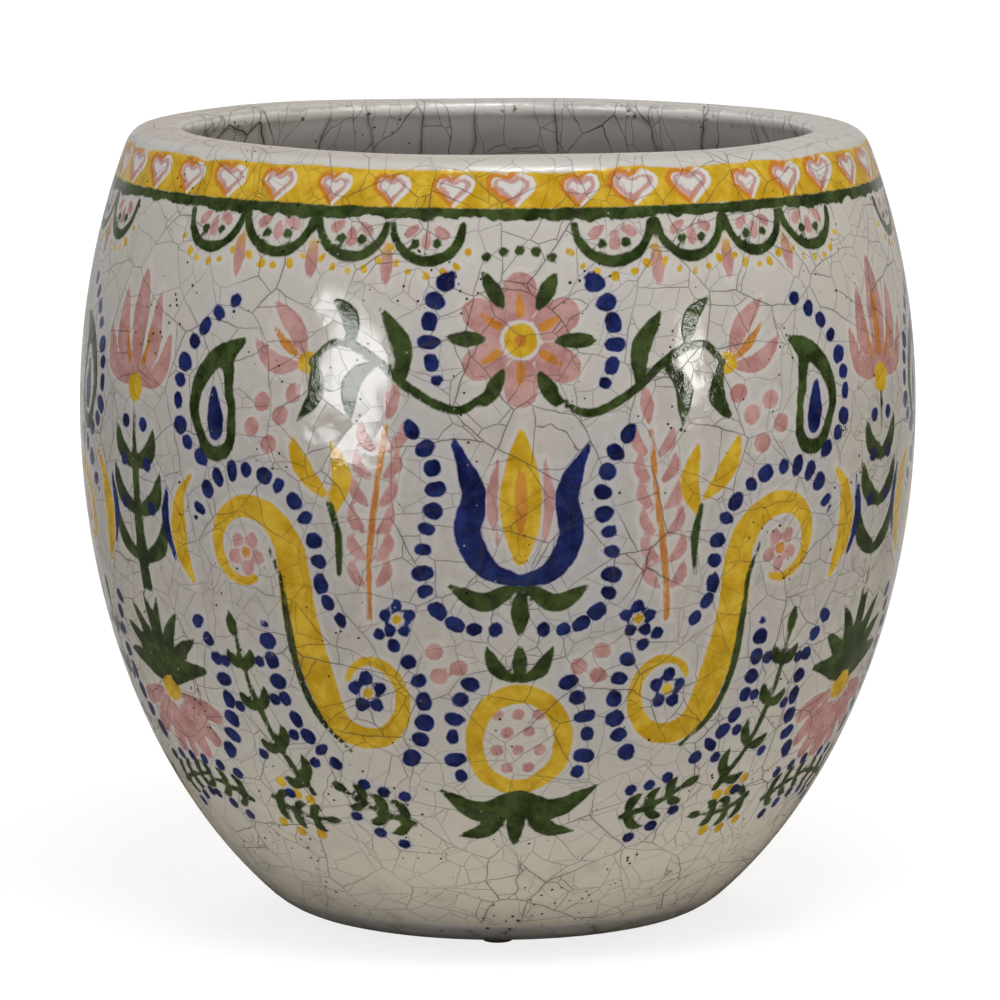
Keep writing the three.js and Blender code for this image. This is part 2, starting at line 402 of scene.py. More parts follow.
# A scroll on either side, shaded along one edge, with a floret in each of its curls
low_curl, high_curl = (40, 72.5), (71, 106)
scroll = curl(low_curl, (6.6, -330), (13.0, -35)) + [(55, 78), (57.5, 91)]
scroll += curl(high_curl, (13.5, 184), (6.6, -110))
pull("yellow", scroll, [1.8, 3.2, 4.8, 7.2, 9.2, 9.6, 8.0, 5.6, 3.6, 1.8])
scroll_shade = [(47.5, 57), (56, 65), (60.5, 76), (61.4, 89), (61.4, 100), (64, 108)]
pull("green", scroll_shade, [1.0, 2.0, 2.2, 1.8, 1.0])
floret("blue", "yellow", low_curl, 5.2)
floret("pink", "orange", high_curl, 5.2, first=-90)
beads((53.5, 53), (63.5, 62.5), (68, 75), (68.6, 88))
beads(
    (45.5, 90), (50, 97), (50.4, 107), (53.5, 116.5), (61, 123.6), (71, 126), (81, 122.5), (87.4, 113.5)
)
beads((30.4, 55.5), (25.6, 63.5), (24.6, 72.5), (28.2, 81.5), (35.5, 87.5))

# An ear of grain beside the tulip
for k in range(6):
    z = 99 + 6.6 * k
    x = 37 - 0.0022 * (z - 92) ** 2
    for sign in (1, -1):
        root, tip = (x + 1.6 * sign, z), (x + 4.8 * sign, z + 7.2)
        leaf("pink", root, (x + 4.4 * sign, z + 3.2), tip, width=3.2)
leaf("pink", (32.0, 140), (30.4, 149), width=3.8)
pull("orange", [(37.6, 91), (36.6, 108), (32.6, 138)], [1.6, 1.8, 1.4])

# A vine from the rosette, with leaves and a bud
vine = [(8, 147), (16, 142.5), (26, 146.5), (37, 155), (46, 157.5), (52, 152.5)]
pull("green", vine, [1.8, 2.4, 2.4, 2.2, 1.8])
leaf("green", (29, 149.5), (29.5, 158), (35, 166.5), width=5.2)
leaf("green", (36, 153), (41, 148), (41, 138.5), width=4.8)
leaf("green", (41.5, 157.5), (43, 164), (48.5, 168.5), width=4.6)
leaf("green", (51, 153), (50, 145), (54.5, 138.5), width=4.6)
leaf("pink", (54, 154.5), (58, 161), (65, 167), width=5.2)
leaf("pink", (55.5, 151.5), (62.5, 152), (69, 157.5), width=5.0)
leaf("orange", (54.6, 153), (59, 156), (64, 161), width=2.6)
dab("yellow", (53, 152.4), 2.8)

# Two yellow buds between the ear and the scroll
leaf("yellow", (45.4, 117), (43, 125), (45.4, 134.5), width=5.0)
leaf("yellow", (47.5, 121), (53, 127.5), (56.5, 136), width=5.0)
pull("green", [(45, 102), (44.6, 111), (46.2, 119)], [1.6, 2.2, 1.6])
for centre in ((62.5, 132.5), (68, 136.5), (65, 142.5), (59.5, 139.5), (56, 145)):
    dab("pink", centre, 2.4)

# A hollow drop with a petal in it, beaded along its back
pull("green", [(79.5, 134), (81, 143), (78, 152), (71.5, 157)], [13, 15.5, 12, 6, 1.2])
pull("green", [(79.5, 135), (80.6, 142), (78.6, 149)], [7.4, 9.8, 6.4, 1.8], wipe=True)
petal("blue", (80.4, 145), (79.6, 135), width=5.4)
beads((84, 127.6), (91, 133.5), (92.6, 143), (89.6, 152.5), (83.4, 160.5), (75.5, 166))

# A pair of commas between the drop and the side spray
pull("yellow", [(91, 96), (95, 106), (94, 117), (89, 123.5)], [1.2, 5.0, 6.2, 3.6, 1.0])
pull("blue", [(97.5, 101), (100.4, 110), (98.6, 120)], [0.8, 2.8, 3.0, 0.8])

# The spray between two panels: an open flower on a leafy stem, over a fan of leaves and a lotus
side = HALF_PANEL
leaf("pink", (side, 147), (side, 174), width=8.5)
leaf("pink", (side - 1.5, 146), (side - 8, 153), (side - 9, 168), width=6.2)
leaf("pink", (side - 2.5, 144), (side - 12, 147.5), (side - 16, 158), width=5.4)
dab("yellow", (side, 143), 4.0)
pull("orange", [(side, 150), (side, 165)], [2.4, 2.0, 0.9])
pull("orange", [(side - 4, 149), (side - 7.4, 158)], [1.9, 1.7, 0.8])
pull("green", [(side, 92), (side, 139)], [2.4, 2.2])
for z, reach in ((99, 14), (111, 13), (123, 11)):
    tip = (side - 0.85 * reach, z + 0.95 * reach)
    leaf("green", (side, z), (side - 0.6 * reach, z + 0.35 * reach), tip, width=5.0)
    dab("blue", (side - 0.42 * reach, z + reach), 1.9)
fan = (side, 66)
for way, reach in ((90, 24), (112, 24), (134, 23), (156, 22)):
    middle, tip = polar(fan, 0.55 * reach, way - 3), polar(fan, reach, way + 5)
    leaf("green", polar(fan, 3.5, way), middle, tip, width=5.0)
for way, reach in ((270, 17), (244, 18), (219, 19), (196, 19)):
    petal("pink", polar(fan, 5.5, way), polar(fan, reach, way), width=5.4)
dab("yellow", fan, 4.2)
beads((93, 51), (87.6, 60), (86.4, 70.5), (88.4, 80.5), (93.6, 88.5))

# A stem of berries, twigs and scattered dots fill what is left down to the foot.
leafy([(64, 44), (72, 55), (77, 69), (79, 84)], 4, 8.6, berry="blue")
leafy([(33, 38), (42, 40.5), (52, 45.5)], 3, 7.4, berry="blue")
leafy([(81, 41), (72, 37.5), (62, 37)], 3, 7.0, berry="yellow")
leafy([(91, 38.5), (100, 41), (side, 43)], 3, 6.6, berry="blue")
floret("blue", "yellow", (30, 91), 4.6)
for centre in ((15, 79), (20.8, 83), (20, 76.8)):
    dab("pink", centre, 2.2)


def keep_on_pot(name, values, elsewhere):
    """Keeps one number for each point of the pot, for its glaze to read."""
    whole = np.full(len(level), elsewhere, np.float32)
    whole[on_wall] = values
    pot.data.attributes.new(name, "FLOAT", "POINT").data.foreach_set("value", whole)


for colour, field in paint.items():
    keep_on_pot(colour, field, FAR)
for colour in BEAD_PITCH:
    keep_on_pot(colour + "_bead_run", bead_run[colour], 0.0)
    keep_on_pot(colour + "_bead_gap", bead_gap[colour], FAR)
keep_on_pot("outside", 1.0, 0.0)


# The glaze is a glossy off-white that crazed as it cooled. Dirt has darkened the cracks, gas left
# pinholes, and the brushed colours lie in it with a pale rim. Under the foot ring the clay is bare.
class Tone:
    """A value in a material. Arithmetic on it adds Math nodes."""

    def __init__(self, socket):
        self.socket = socket

    def node(self, kind, settings=None, sockets=None, result=0):
        """A new node in the same material, with its settings made before its sockets are fed."""
        tree = self.socket.id_data
        made = tree.nodes.new("ShaderNode" + kind)
        for name, value in (settings or {}).items():
            setattr(made, name, value)
        for name, value in (sockets or {}).items():
            if isinstance(value, Tone):
                tree.links.new(value.socket, made.inputs[name])
            else:
                made.inputs[name].default_value = value
        return Tone(made.outputs[result])

    def also(self, result):
        """Another output of the node that this value comes from."""
        return Tone(self.socket.node.outputs[result])

    def math(self, operation, *values):
        return self.node("Math", {"operation": operation}, dict(enumerate(values)))

    def __add__(self, other):
        return self.math("ADD", self, other)

    def __sub__(self, other):
        return self.math("SUBTRACT", self, other)

    def __rsub__(self, other):
        return self.math("SUBTRACT", other, self)

    def __mul__(self, other):
        return self.math("MULTIPLY", self, other)

    def __truediv__(self, other):
        return self.math("DIVIDE", self, other)

    def __pow__(self, other):
        return self.math("POWER", self, other)

    __radd__ = __add__
    __rmul__ = __mul__

    def __abs__(self):
        return self.math("ABSOLUTE", self)

    def least(self, *others):
        value = self
        for other in others:
            value = value.math("MINIMUM", value, other)
        return value

    def most(self, other):
        return self.math("MAXIMUM", self, other)

    def rise(self, start, end):
        """0 up to start and 1 from end on, with a smooth rise between."""
        sockets = {"Value": self, "From Min": start, "From Max": end}
        return self.node("MapRange", {"interpolation_type": "SMOOTHSTEP"}, sockets)

    def fall(self, start, end):
        return 1 - self.rise(start, end)

    def vector(self, operation, *values, result=0):
        return self.node("VectorMath", {"operation": operation}, dict(enumerate(values)), result)

    def dot(self, other):
        return self.vector("DOT_PRODUCT", self, other, result=1)

    def noise(self, size, detail=2.0, roughness=0.5, result=0):
        """Cloudy variation whose patches are about size metres across."""
        sockets = {"Vector": self, "Scale": 1 / size, "Detail": detail, "Roughness": roughness}
        return self.node("TexNoise", None, sockets, result)

    def cells(self, size, result="Distance"):
        """Scattered cells about size metres across, by default the distance to a cell's middle."""
        return self.node("TexVoronoi", None, {"Vector": self, "Scale": 1 / size}, result)

    def draw(self):
        """A random value from 0 to 1 for each whole number."""
        return self.node("TexWhiteNoise", {"noise_dimensions": "1D"}, {"W": self})

    def over(self, below, colour):
        """A colour laid over another, as densely as this value says."""
        return self.node("Mix", {"data_type": "RGBA"}, {0: self, 6: below, 7: colour}, 2)


def srgb(*screen):
    """A colour given as it looks on a screen, red, green and blue from 0 to 255."""
    return tuple(((c / 255 + 0.055) / 1.055) ** 2.4 for c in screen) + (1.0,)


def finish_of(name, **sockets):
    """A new material, with what is the same all over it set on its shader."""
    material = bpy.data.materials.new(name)
    material.use_nodes = True
    shader = material.node_tree.nodes["Principled BSDF"]
    for socket, value in sockets.items():
        shader.inputs[socket.replace("_", " ")].default_value = value
    coordinates = material.node_tree.nodes.new("ShaderNodeTexCoord")
    return material, shader, Tone(coordinates.outputs["Object"])


def feed(shader, **sockets):
    """Links what changes over a surface to its shader."""
    for socket, value in sockets.items():
        shader.id_data.links.new(value.socket, shader.inputs[socket.replace("_", " ")])


def crazing(place, normal, cell):
    """Distance in mm along the surface to a net of cracks, and a random shift for each of its cells."""
    sockets = {"Vector": place, "Scale": 1 / cell, "Randomness": 0.95}
    near = place.node("TexVoronoi", {"feature": "F1"}, sockets, "Position")
    next_one = place.node("TexVoronoi", {"feature": "F2"}, sockets, "Position")
    across = place.vector("NORMALIZE", place.vector("SUBTRACT", next_one, near))
    middle = place.vector("MULTIPLY", place.vector("ADD", near, next_one), (0.5, 0.5, 0.5))
    depth = place.vector("SUBTRACT", middle, place).dot(across)
    lean = across.dot(normal)
    upright = (1 - lean * lean).most(0.06) ** 0.5
    return depth / upright * (1 / MM), near.also("Color")


glaze, glaze_shader, place_on_pot = finish_of("crackle_glaze", Specular_IOR_Level=0.38)
normal_on_pot = place_on_pot.also("Normal")
apart = place_on_pot.node("SeparateXYZ", None, {0: place_on_pot})
up = apart.also("Z") * (1 / MM)


def kept(name):
    """A number that the pot keeps for each of its points."""
    return place_on_pot.node("Attribute", {"attribute_name": name}, None, "Fac")


# The paint's edges waver with the brush, and the dots in a row differ in size and spacing.
wavering = (place_on_pot.noise(0.004, 2.0) - 0.5) + (place_on_pot.noise(0.0011, 1.0) - 0.5) * 0.25
dabbed = (place_on_pot.noise(0.0026, 1.0) - 0.5) * 0.8
inside = 1 - kept("outside")
SECOND_DRAW = 50.0  # added to a number for a second random value


def bead_edge(colour, radius, spread):
    """Distance in mm outside a colour's rows of dots, negative inside a dot."""
    step = kept(colour + "_bead_run") * (1 / BEAD_PITCH[colour])
    number = step.math("FLOOR", step)
    chance = number.draw()
    stretch = 0.8 + 0.42 * (number + SECOND_DRAW).draw()
    off = ((step - number - 0.5) * BEAD_PITCH[colour] + (chance - 0.5) * spread) / stretch
    away = (off * off + (kept(colour + "_bead_gap") * stretch) ** 2.0) ** 0.5
    return away - radius * (0.84 + 0.32 * chance) + dabbed


# The rim band with its row of hearts, and the line under it
HEARTS, BAND_RADIUS = 40, 95.0
HEART_PITCH = math.tau * BAND_RADIUS / HEARTS
HEART_TALL, HEART_BROAD = 7.4, 9.1
BAND_BOTTOM, BAND_TOP, LINE_BOTTOM = 189.8, 198.8, 187.2
heart_turn = apart.math("ARCTAN2", apart, 0 - apart.also("Y")) * (HEARTS / math.tau) + 0.25
heart_number = heart_turn.math("FLOOR", heart_turn)
luck = heart_number.draw()
heart_off = (heart_turn - heart_number - 0.5) * HEART_PITCH + (luck - 0.5) * 2.4
heart_lean = ((heart_number + SECOND_DRAW).draw() - 0.5) * 0.3
heart_x = (heart_off + 1.6 * wavering) / (HEART_BROAD * (0.72 + 0.38 * luck))
heart_z = (up - BAND_BOTTOM - 0.3 + 1.4 * wavering) / (HEART_TALL * (0.9 + 0.16 * luck))
heart_x = heart_x + heart_lean * (heart_z - 0.5)


def heart(x, z):
    """Distance in mm outside a heart that stands on its point, negative inside it."""
    x = abs(x)
    lobe = ((x - 0.25) ** 2.0 + (z - 0.75) ** 2.0) ** 0.5 - 0.3536
    fold = (x + z).most(0.0) * 0.5
    notch = x * x + (z - 1) * (z - 1)
    flank = (x - fold) * (x - fold) + (z - fold) * (z - fold)
    lower = notch.least(flank) ** 0.5 * (x - z).math("SIGN", x - z)
    top = (x + z).math("GREATER_THAN", x + z, 1.0)
    return (top * lobe + (1 - top) * lower) * HEART_TALL


def within(level, bottom, top):
    """Distance in mm outside a stretch of heights, negative inside it."""
    return (bottom - level).most(level - top)


heart_edge = heart(heart_x, heart_z)
shadow_edge = heart(heart_x + 0.09, heart_z - 0.03)
off_wall = inside * FAR
unsteady = (place_on_pot.noise(0.022, 1.0) - 0.5) * 3.4
dragged = (place_on_pot.noise(0.0042, 2.0) - 0.5) * 3.4
band_edge = within(up, BAND_BOTTOM, BAND_TOP + unsteady) + off_wall
line_edge = within(up, LINE_BOTTOM + unsteady * 0.35 + dragged, BAND_BOTTOM + 0.3) + off_wall
pink_edge = kept("pink") + wavering
orange_edge = kept("orange") + wavering
yellow_edge = kept("yellow").least(band_edge, bead_edge("yellow", 1.05, 0.8)) + wavering
green_edge = kept("green").least(line_edge) + wavering
blue_edge = kept("blue").least(bead_edge("blue", 2.1, 0.9)) + wavering

# The glaze itself: warmer towards the foot, paler beside the paint, and worn on top of the lip.
# Painted light makes the lower wall and the shoulder paler, painted shade darkens the lip's left side,
# a painted highlight lies on the inner edge of the lip, and in the mouth the glaze is painted paler as
# painted light and darker with depth as painted shade.
body_white = srgb(177, 171, 164)
body_cool = srgb(172, 169, 166)
body_warm = srgb(179, 167, 155)
body_grey = srgb(166, 160, 156)
foot_warm_painted_light = srgb(202, 195, 179)
shoulder_painted_light = srgb(189, 184, 177)
rim_white = srgb(200, 197, 193)
lip_white = srgb(183, 181, 176)
lip_wear_and_shade = srgb(172, 162, 151)
inner_lip_painted_highlight = srgb(240, 237, 231)
mouth_painted_light = srgb(206, 202, 198)
mouth_painted_shade = srgb(148, 143, 139)
fleck_grey = srgb(146, 140, 135)
blue_bleed = srgb(126, 128, 170)
green_bleed = srgb(120, 132, 104)
glaze_colour = place_on_pot.noise(0.035, 3.0).rise(0.35, 0.65).over(body_white, body_cool)
glaze_colour = (place_on_pot.noise(0.018, 3.0).rise(0.5, 0.75) * 0.6).over(glaze_colour, body_warm)
glaze_colour = (place_on_pot.noise(0.008, 3.0).rise(0.42, 0.7) * 0.4).over(glaze_colour, body_grey)
fleck = place_on_pot.noise(0.0028, 3.0, 0.6)
glaze_colour = (fleck.rise(0.5, 0.75) * 0.3).over(glaze_colour, fleck_grey)
glaze_colour = (fleck.fall(0.25, 0.5) * 0.3).over(glaze_colour, rim_white)
# Warmer towards the foot, and painted light: paler there, where the lower wall faces down into shade
glaze_colour = (up.fall(10.0, 105.0) * 0.75).over(glaze_colour, foot_warm_painted_light)
# Painted light: the shoulder is painted paler towards the lip
glaze_colour = (up.rise(110.0, 185.0) * 0.8).over(glaze_colour, shoulder_painted_light)
near_paint = pink_edge.least(yellow_edge, green_edge, blue_edge, orange_edge)
glaze_colour = (near_paint.fall(0.2, 2.0) * 0.4).over(glaze_colour, rim_white)
glaze_colour = (blue_edge.fall(0.0, 2.4) * 0.16).over(glaze_colour, blue_bleed)
glaze_colour = (green_edge.fall(0.0, 1.6) * 0.12).over(glaze_colour, green_bleed)
glaze_colour = (up.rise(BAND_TOP - 1, BAND_TOP + 1) * 0.8).over(glaze_colour, lip_white)
facing_up = normal_on_pot.dot((0.0, 0.0, 1.0))
on_lip = up.rise(LIP_LEVEL - 6, LIP_LEVEL - 3)
worn = facing_up.rise(0.8, 0.97) * on_lip
rubbed = facing_up.rise(0.3, 0.7) * on_lip
# The lip's top is worn darker, and painted shade darkens it further towards its left side
glaze_colour = (worn * (0.5 + 0.5 * apart.fall(-0.1, 0.04))).over(glaze_colour, lip_wear_and_shade)
below_lip = LIP_LEVEL - up - wavering * 1.5
# A painted highlight: the inner edge of the lip is painted paler, standing in for the light it catches
glaze_colour = (inside * below_lip.rise(1.2, 2.0) * 0.85).over(glaze_colour, inner_lip_painted_highlight)
within_mouth = inside * below_lip.rise(3.4, 4.6)
# Inside the mouth the glaze is painted paler as painted light, then darker with depth as painted shade
glaze_colour = (within_mouth * 0.9).over(glaze_colour, mouth_painted_light)
glaze_colour = (within_mouth * below_lip.rise(4.5, 15.0) * 0.7).over(glaze_colour, mouth_painted_shade)

# The brushed colours, each as it looks where it is thin and where it is thick
pink_paint = srgb(184, 143, 138), srgb(160, 110, 106)
yellow_paint = srgb(203, 169, 54), srgb(178, 139, 22)
orange_paint = srgb(190, 132, 56), srgb(168, 100, 30)
green_paint = srgb(64, 79, 39), srgb(26, 39, 10)
blue_paint = srgb(33, 45, 100), srgb(8, 15, 56)
heart_orange = srgb(186, 118, 42)
heart_pink = srgb(176, 128, 124)
washed = place_on_pot.noise(0.0055, 4.0, 0.66)


def brushed(edge, below, thin_and_thick, density=1.0):
    """A paint over what lies below it, thinner where the brush ran dry."""
    cover = edge.fall(-0.3, 0.26) * density
    return cover.over(below, washed.rise(0.32, 0.68).over(*thin_and_thick))


glaze_colour = brushed(pink_edge, glaze_colour, pink_paint, 0.95)
glaze_colour = brushed(yellow_edge, glaze_colour, yellow_paint)
glaze_colour = brushed(orange_edge, glaze_colour, orange_paint, 0.95)
on_band = band_edge.fall(-0.1, 0.6)
glaze_colour = (heart(heart_x - 0.06, heart_z).fall(-0.2, 0.2) * on_band).over(glaze_colour, rim_white)
shadow_line = abs(shadow_edge + 0.5) - 0.65 + wavering
shadow_cover = shadow_line.fall(-0.3, 0.3) * on_band * heart_x.fall(0.0, 0.3)
glaze_colour = shadow_cover.over(glaze_colour, heart_orange)
heart_line = abs(heart_edge + 1.25) - 0.5 + wavering
glaze_colour = (heart_line.fall(-0.3, 0.3) * on_band * 0.85).over(glaze_colour, heart_pink)
glaze_colour = brushed(green_edge, glaze_colour, green_paint)
glaze_colour = brushed(blue_edge, glaze_colour, blue_paint)

# Small bubbles leave pale specks in the dark colours.
BUBBLE = 0.0034
bubble_pale = srgb(170, 170, 172)
bubble = place_on_pot.cells(BUBBLE)
some = bubble.also("Color").dot((1.0, 0.0, 0.0)).rise(0.5, 0.55)
dark_paint = green_edge.least(blue_edge).fall(-0.5, -0.2)
bubble_cover = bubble.fall(0.05, 0.1) * some * dark_paint * 0.7
glaze_colour = bubble_cover.over(glaze_colour, bubble_pale)

# Nets of cracks, each broken off at the one before it, and hair cracks in some cells. Inside the
# mouth they run mostly up and down.
FIRST_CELL, SECOND_CELL, THIRD_CELL = 0.019, 0.0135, 0.0105
MOUTH_STRETCH = 0.55  # the share of the height that their pattern skips there
crack_dark = srgb(50, 45, 41)
crack_stain = srgb(116, 106, 94)
foot_dirt = srgb(132, 122, 108)


def pushed(place, patch, reach):
    """A place pushed about at random, in patches of one size, by up to half of a reach each way."""
    push = place_on_pot.vector("SUBTRACT", place_on_pot.noise(patch, 1.0, result=1), (0.5, 0.5, 0.5))
    return place_on_pot.vector("MULTIPLY_ADD", push, (reach, reach, reach), place)


drifted = pushed(pushed(place_on_pot, 0.014, 0.003), 0.0045, 0.001)
lift = (LIP_LEVEL - up) * inside * (MOUTH_STRETCH * MM)
crazed = place_on_pot.vector("ADD", drifted, place_on_pot.node("CombineXYZ", None, {"Z": lift}))
first_gap, first_shift = crazing(crazed, normal_on_pot, FIRST_CELL)
second_place = place_on_pot.vector("ADD", crazed, first_shift)
second_gap, second_shift = crazing(second_place, normal_on_pot, SECOND_CELL)
third_place = place_on_pot.vector("ADD", second_place, second_shift)
third_gap, _ = crazing(third_place, normal_on_pot, THIRD_CELL)
soil = place_on_pot.noise(0.02, 2.0)
hair = second_shift.dot((1.0, 0.0, 0.0)).rise(0.5, 0.55).most(up.fall(40.0, 85.0))
first_line = first_gap.fall(0.06, 0.26) * (0.45 + 0.5 * soil.rise(0.35, 0.65))
second_line = second_gap.fall(0.05, 0.24) * (0.4 + 0.45 * soil.rise(0.35, 0.65))
third_line = third_gap.fall(0.04, 0.2) * hair * 0.5
crack = first_line.most(second_line.most(third_line))
stain = first_gap.fall(0.0, 1.5) * (0.14 * soil.rise(0.45, 0.75) + 0.34 * within_mouth)
glaze_colour = stain.over(glaze_colour, crack_stain)
dirt = up.fall(6.0, 48.0) * place_on_pot.noise(0.013, 4.0, 0.62).rise(0.5, 0.72)
glaze_colour = (dirt * 0.4).over(glaze_colour, foot_dirt)
glaze_colour = (crack * (0.72 + 0.25 * within_mouth)).over(glaze_colour, crack_dark)

# Chips along the inner edge of the lip show the clay.
chip_pale = srgb(150, 112, 102)
chip_dark = srgb(84, 62, 56)
lip_corner = inside * below_lip.rise(1.4, 2.6) * below_lip.fall(3.8, 5.4)
chipped = place_on_pot.noise(0.008, 3.0, 0.65).rise(0.61, 0.66) * lip_corner
chip_clay = fleck.rise(0.4, 0.6).over(chip_pale, chip_dark)
glaze_colour = (chipped * 0.85).over(glaze_colour, chip_clay)

# Pinholes, thicker in some patches, and a few larger pits
PIN, PIT = 0.0025, 0.0105
pinhole_dark = srgb(24, 20, 18)
ragged = (place_on_pot.noise(0.0008, 1.0) - 0.5) * 0.14
pin = place_on_pot.cells(PIN) + ragged
pin_size = place_on_pot.noise(0.018, 3.0).rise(0.45, 0.72) * 0.16 + up.fall(8.0, 60.0) * 0.03 + 0.03
pinhole = (pin / pin_size).fall(0.7, 1.1).most(drifted.cells(PIT).fall(0.032, 0.05))
glaze_colour = (pinhole * 0.94).over(glaze_colour, pinhole_dark)

# Bare clay under the foot
clay_pale = srgb(150, 124, 100)
clay_dark = srgb(120, 96, 76)
facing_down = normal_on_pot.dot((0.0, 0.0, -1.0))
bare = facing_down.rise(0.9, 0.97) * up.fall(7.0, 8.0)
clay = place_on_pot.noise(0.004, 4.0).over(clay_pale, clay_dark)
glaze_colour = bare.over(glaze_colour, clay)

# The glaze lies unevenly, lumpier on the lip, and each plate between the cracks leans its own way.
PLATE_LEAN = 0.035
uneven = place_on_pot.noise(0.024, 1.0) * 1.3 + place_on_pot.noise(0.01, 2.0) * 0.4
painted = near_paint.fall(-0.6, 0.1)
grain = place_on_pot.noise(0.0012, 2.0, 0.7) * (0.02 + 0.05 * painted)
lumps = place_on_pot.noise(0.005, 3.0, 0.6) * 0.45 * on_lip
relief = uneven + grain + lumps - pinhole * 0.1 - chipped * 0.2
glaze_bump = place_on_pot.node("Bump", None, {"Strength": 0.6, "Distance": MM, "Height": relief})
plates = first_shift.vector("ADD", first_shift, second_shift)
plates = plates.vector("SUBTRACT", plates, (1.0, 1.0, 1.0))
plate_tilt = plates.vector("MULTIPLY", plates, (PLATE_LEAN, PLATE_LEAN, PLATE_LEAN))
feed(
    glaze_shader,
    Base_Color=glaze_colour,
    Roughness=0.025 + 0.03 * washed + 0.2 * crack + 0.7 * bare + 0.2 * within_mouth + 0.24 * rubbed,
    Normal=glaze_bump.vector("NORMALIZE", glaze_bump.vector("ADD", glaze_bump, plate_tilt)),
)
pot.data.materials.append(glaze)

# The drain plug is moulded rubber. Its tapered shank fills the drain hole, its flange seals on the
# floor around it, and a low knob pulls it out. It only lies in place under its own weight.
rubber_black = srgb(38, 37, 36)
rubber_dust = srgb(58, 56, 53)
plug_low, plug_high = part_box("drain_plug")
TIP_LEVEL, KNOB_TOP, FLANGE_RADIUS = plug_low.z / MM, plug_high.z / MM, plug_high.x / MM
PLUG_CLEARANCE, PLUG_TAPER = 0.3, 1.2
PLUG_ROUND, MOULD_EDGE = 1.2, 0.3
SHANK_TOP = DRAIN_RADIUS - PLUG_CLEARANCE
SHANK_TIP = SHANK_TOP - PLUG_TAPER
FLANGE_BOTTOM = FLOOR_LEVEL + PLUG_CLEARANCE
FLANGE_TOP = FLANGE_BOTTOM + 3.0
NECK_RADIUS, NECK_ROUND, NECK_TOP = 4.0, 1.0, FLANGE_TOP + 2.0
KNOB_RADIUS, KNOB_FLAT, KNOB_MIDDLE = 7.5, 2.5, KNOB_TOP - 2.0
PLUG_COLUMNS = 72
knob_under = (KNOB_RADIUS, NECK_TOP + MOULD_EDGE)
plug = spun(
    "plug",
    [
        (0, TIP_LEVEL),
        *corner(SHANK_TIP, TIP_LEVEL, (-PLUG_ROUND, 0), (0, PLUG_ROUND)),
        (SHANK_TOP, FLANGE_BOTTOM),
        (FLANGE_RADIUS - MOULD_EDGE, FLANGE_BOTTOM),
        (FLANGE_RADIUS, FLANGE_BOTTOM + MOULD_EDGE),
        *corner(FLANGE_RADIUS, FLANGE_TOP, (0, -PLUG_ROUND), (-PLUG_ROUND, 0)),
        *corner(NECK_RADIUS, FLANGE_TOP, (NECK_ROUND, 0), (0, NECK_ROUND)),
        *rounded((NECK_RADIUS, NECK_TOP), knob_under, (KNOB_RADIUS, KNOB_MIDDLE), 6),
        *rounded((KNOB_RADIUS, KNOB_MIDDLE), (KNOB_RADIUS, KNOB_TOP), (KNOB_FLAT, KNOB_TOP), 7),
        (0, KNOB_TOP),
    ],
    PLUG_COLUMNS,
)
rubber, rubber_shader, place_on_plug = finish_of("plug_rubber", Specular_IOR_Level=0.4)
dusty = place_on_plug.noise(0.004, 4.0)
matte = place_on_plug.noise(0.0006, 2.0)
feed(
    rubber_shader,
    Base_Color=dusty.rise(0.3, 0.8).over(rubber_black, rubber_dust),
    Roughness=0.5 + 0.25 * dusty,
    Normal=place_on_plug.node("Bump", None, {"Strength": 0.3, "Distance": 0.0004, "Height": matte}),
)
plug.data.materials.append(rubber)
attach(plug, "plug")
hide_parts("drain_plug")

# Four self-adhesive rubber buttons under the foot ring keep the bare clay off the table. Each has a
# rounded edge where it stands and a thin film of adhesive above it.
PAD_COUNT, PAD_COLUMNS = 4, 40
PAD_ROUND, PAD_EDGE = 0.4, 0.15
pad_dark = srgb(74, 71, 68)
pad_pale = srgb(92, 88, 84)
pad_rubber, pad_shader, place_on_pad = finish_of("pad_rubber", Specular_IOR_Level=0.4)
grainy = place_on_pad.noise(0.0012, 3.0)
feed(
    pad_shader,
    Base_Color=grainy.rise(0.3, 0.7).over(pad_dark, pad_pale),
    Roughness=0.6 + 0.2 * grainy,
    Normal=place_on_pad.node("Bump", None, {"Strength": 0.3, "Distance": 0.0003, "Height": grainy}),
)
for number in range(1, PAD_COUNT + 1):
    pad_low, pad_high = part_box(f"foot_pad_{number}")
    pad_middle = (pad_low + pad_high) / (2 * MM)
    pad_radius = (pad_high.x - pad_low.x) / (2 * MM)
    pad_height = (pad_high.z - pad_low.z) / MM
    pad = spun(
        f"pad_{number}",
        [
            (0, 0),
            *corner(pad_radius, 0, (-PAD_ROUND, 0), (0, PAD_ROUND)),
            (pad_radius, pad_height - PAD_EDGE),
            (pad_radius - PAD_EDGE, pad_height),
            (0, pad_height),
        ],
        PAD_COLUMNS,
        axis=pad_middle.xy,
    )
    pad.data.materials.append(pad_rubber)
    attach(pad, "planter")
    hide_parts(f"foot_pad_{number}")

# The studio is a white floor that runs out of sight, in pale surroundings. A soft box hangs over the
# front, low ones fill the sides and the back, and two beside the camera only shine in the glaze. The
# camera stands a long way back.
FLOOR_REACH = 14.0
paper_white = srgb(250, 248, 244)
paper_grey = srgb(92, 90, 87)
shadow_grey = srgb(128, 126, 123)
BACKDROP_SHINE = 0.34  # how much of the white backdrop the glaze mirrors at its edges
LIT_POINT, SIGHT_POINT = Vector((0, 0, 0.13)), Vector((0, 0, 0.1054))
scene = bpy.context.scene
scene.view_settings.view_transform = "Standard"

bm = bmesh.new()
bmesh.ops.create_circle(bm, cap_ends=True, segments=64, radius=FLOOR_REACH)
floor_mesh = bpy.data.meshes.new("floor")
bm.to_mesh(floor_mesh)
bm.free()
floor = bpy.data.objects.new("floor", floor_mesh)
bpy.context.collection.objects.link(floor)


